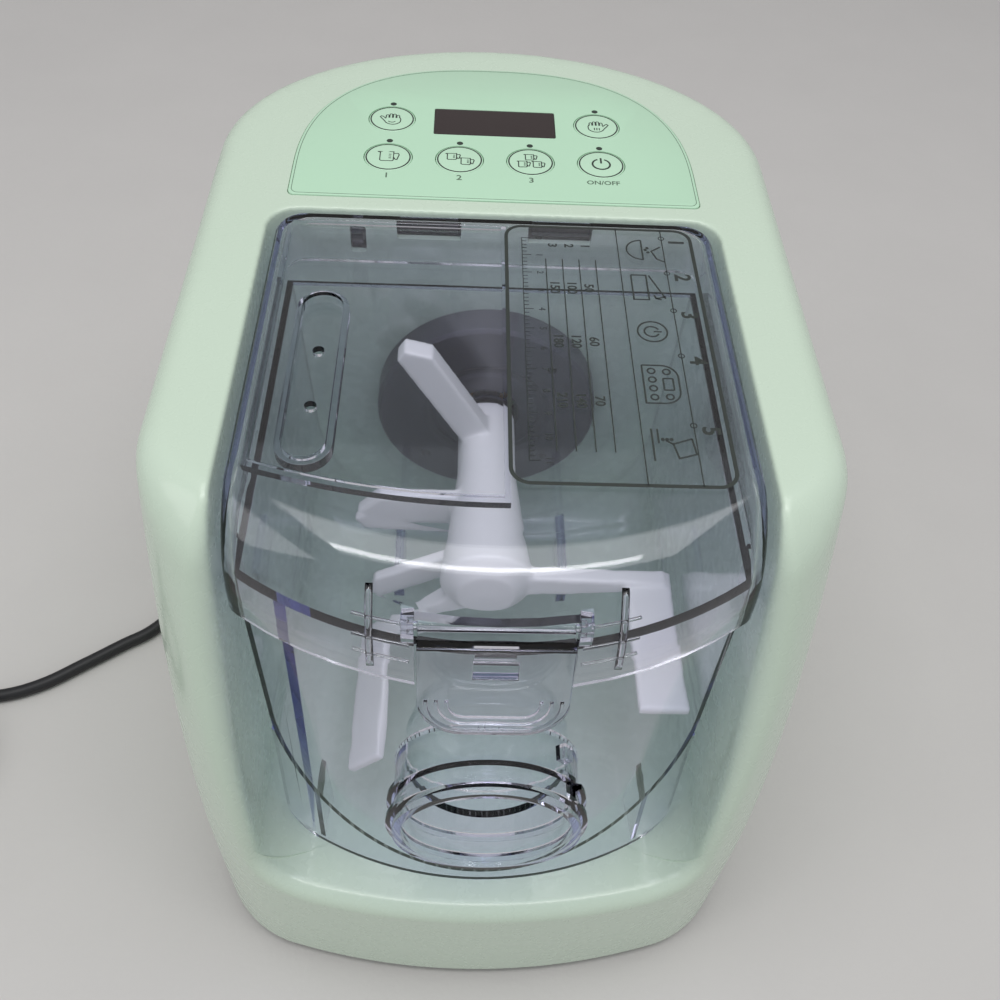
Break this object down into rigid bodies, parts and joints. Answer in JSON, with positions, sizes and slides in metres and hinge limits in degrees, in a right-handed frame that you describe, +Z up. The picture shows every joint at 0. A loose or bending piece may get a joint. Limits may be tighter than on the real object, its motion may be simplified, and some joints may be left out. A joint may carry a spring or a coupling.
{
  "type": "electric pasta maker",
  "caption": "Countertop pasta maker with a clear mixing tub and hinged lid in a moulded housing, a kneading paddle on a geared drive, touch keys and a front outlet collar.",
  "frame": {"origin": "middle of the footprint on the worktop, without the mains lead", "axes": "+X to the machine's right as seen from the front, -Y towards the user, +Z up"},
  "size_m": [0.4805, 0.4003, 0.2458],
  "materials": {
    "housing": "smooth pale green-white moulding",
    "base": "plain moulding",
    "foot_rubber": "matt dark rubber",
    "screw_steel": "zinc-plated",
    "cover": "smooth pale green-white moulding",
    "panel": "smooth pale green membrane",
    "display": "dark smoked window",
    "lamp": "unlit lamp lens",
    "board": "circuit board",
    "key": "smooth pale green key cap",
    "disc": "fine-grained dark grey moulding",
    "case_plastic": "grey-white moulding",
    "bush_bronze": "sintered bronze",
    "shaft_steel": "turned steel",
    "gear_plastic": "natural acetal",
    "motor_steel": "drawn steel can",
    "stator": "laminated stack with winding",
    "pinion_brass": "cut brass",
    "fan_plastic": "dark moulding",
    "switch_plastic": "dark moulding",
    "clear_plastic": "clear moulded plastic, lightly tinted",
    "clear_lid": "clear moulded plastic",
    "seal_rubber": "soft dark seal",
    "paddle_plastic": "smooth off-white moulding",
    "cord_rubber": "black cable jacket",
    "plug_plastic": "black moulded plug"
  },
  "bodies": {
    "machine": {"housing_shell": "housing", "base_plate": "base", "rubber_feet": "foot_rubber", "base_screws": "screw_steel", "side_cover_left": "cover", "side_cover_right": "cover", "control_panel": "panel", "display_window": "display", "key_lamps": "lamp", "control_board": "board", "drive_disc": "disc", "gearcase": "case_plastic", "gearcase_cover": "case_plastic", "gearcase_screws": "screw_steel", "bush_front": "bush_bronze", "bush_rear": "bush_bronze", "idler_pin": "shaft_steel", "motor_can": "motor_steel", "motor_stator": "stator", "power_board": "board", "lid_switch": "switch_plastic", "strain_relief": "cord_rubber", "power_cord": "cord_rubber", "cord_coil": "cord_rubber", "power_plug": "plug_plastic"},
    "drive": {"drive_shaft": "shaft_steel", "output_gear": "gear_plastic"},
    "idler": {"idler_gear": "gear_plastic"},
    "rotor": {"motor_rotor": "shaft_steel", "motor_pinion": "pinion_brass", "cooling_fan": "fan_plastic"},
    "tub": {"mixing_tub": "clear_plastic", "tub_front_wall": "clear_plastic", "outlet_collar": "clear_plastic", "tub_seal": "seal_rubber"},
    "paddle": {"mixing_paddle": "paddle_plastic"},
    "lid_body": {"lid": "clear_lid"},
    "latch": {"lid_latch": "clear_lid"},
    "key_knead_cap": {"key_knead": "key"},
    "key_extrude_cap": {"key_extrude": "key"},
    "key_one_cap": {"key_one": "key"},
    "key_two_cap": {"key_two": "key"},
    "key_three_cap": {"key_three": "key"},
    "key_power_cap": {"key_power": "key"}
  },
  "joints": [
    {"name": "drive_spin", "type": "hinge", "parent": "machine", "child": "drive", "pos_m": [0, 0.05, 0.1518], "axis": [0, -1, 0], "continuous": true},
    {"name": "idler_spin", "type": "hinge", "parent": "machine", "child": "idler", "pos_m": [0.0125, 0.06, 0.09723], "axis": [0, -1, 0], "continuous": true},
    {"name": "motor_spin", "type": "hinge", "parent": "machine", "child": "rotor", "pos_m": [0, 0.1, 0.054], "axis": [0, -1, 0], "continuous": true},
    {"name": "tub_slide", "type": "slide", "parent": "machine", "child": "tub", "axis": [0, -1, 0], "range_m": [0, 0.2]},
    {"name": "paddle_spin", "type": "hinge", "parent": "tub", "child": "paddle", "pos_m": [0, 0, 0.1518], "axis": [0, -1, 0], "continuous": true},
    {"name": "lid_hinge", "type": "hinge", "parent": "tub", "child": "lid_body", "pos_m": [0, 0.03, 0.243], "axis": [-1, 0, 0], "range_deg": [0, 75]},
    {"name": "latch_pivot", "type": "hinge", "parent": "lid_body", "child": "latch", "pos_m": [0, -0.1374, 0.2294], "axis": [-1, 0, 0], "range_deg": [0, 12], "stiffness_Nm_per_rad": 0.05, "springref_deg": -17.19},
    {"name": "key_knead_press", "type": "slide", "parent": "machine", "child": "key_knead_cap", "axis": [0, 0, -1], "range_m": [0, 0.0005], "stiffness_N_per_m": 400, "springref_m": -0.0003},
    {"name": "key_extrude_press", "type": "slide", "parent": "machine", "child": "key_extrude_cap", "axis": [0, 0, -1], "range_m": [0, 0.0005], "stiffness_N_per_m": 400, "springref_m": -0.0003},
    {"name": "key_one_press", "type": "slide", "parent": "machine", "child": "key_one_cap", "axis": [0, 0, -1], "range_m": [0, 0.0005], "stiffness_N_per_m": 400, "springref_m": -0.0003},
    {"name": "key_two_press", "type": "slide", "parent": "machine", "child": "key_two_cap", "axis": [0, 0, -1], "range_m": [0, 0.0005], "stiffness_N_per_m": 400, "springref_m": -0.0003},
    {"name": "key_three_press", "type": "slide", "parent": "machine", "child": "key_three_cap", "axis": [0, 0, -1], "range_m": [0, 0.0005], "stiffness_N_per_m": 400, "springref_m": -0.0003},
    {"name": "key_power_press", "type": "slide", "parent": "machine", "child": "key_power_cap", "axis": [0, 0, -1], "range_m": [0, 0.0005], "stiffness_N_per_m": 400, "springref_m": -0.0003}
  ],
  "couplings": [
    {"joint": "idler_spin", "follows": "drive_spin", "ratio": -3.6667},
    {"joint": "motor_spin", "follows": "drive_spin", "ratio": 18.333},
    {"joint": "paddle_spin", "follows": "drive_spin", "ratio": 1}
  ]
}
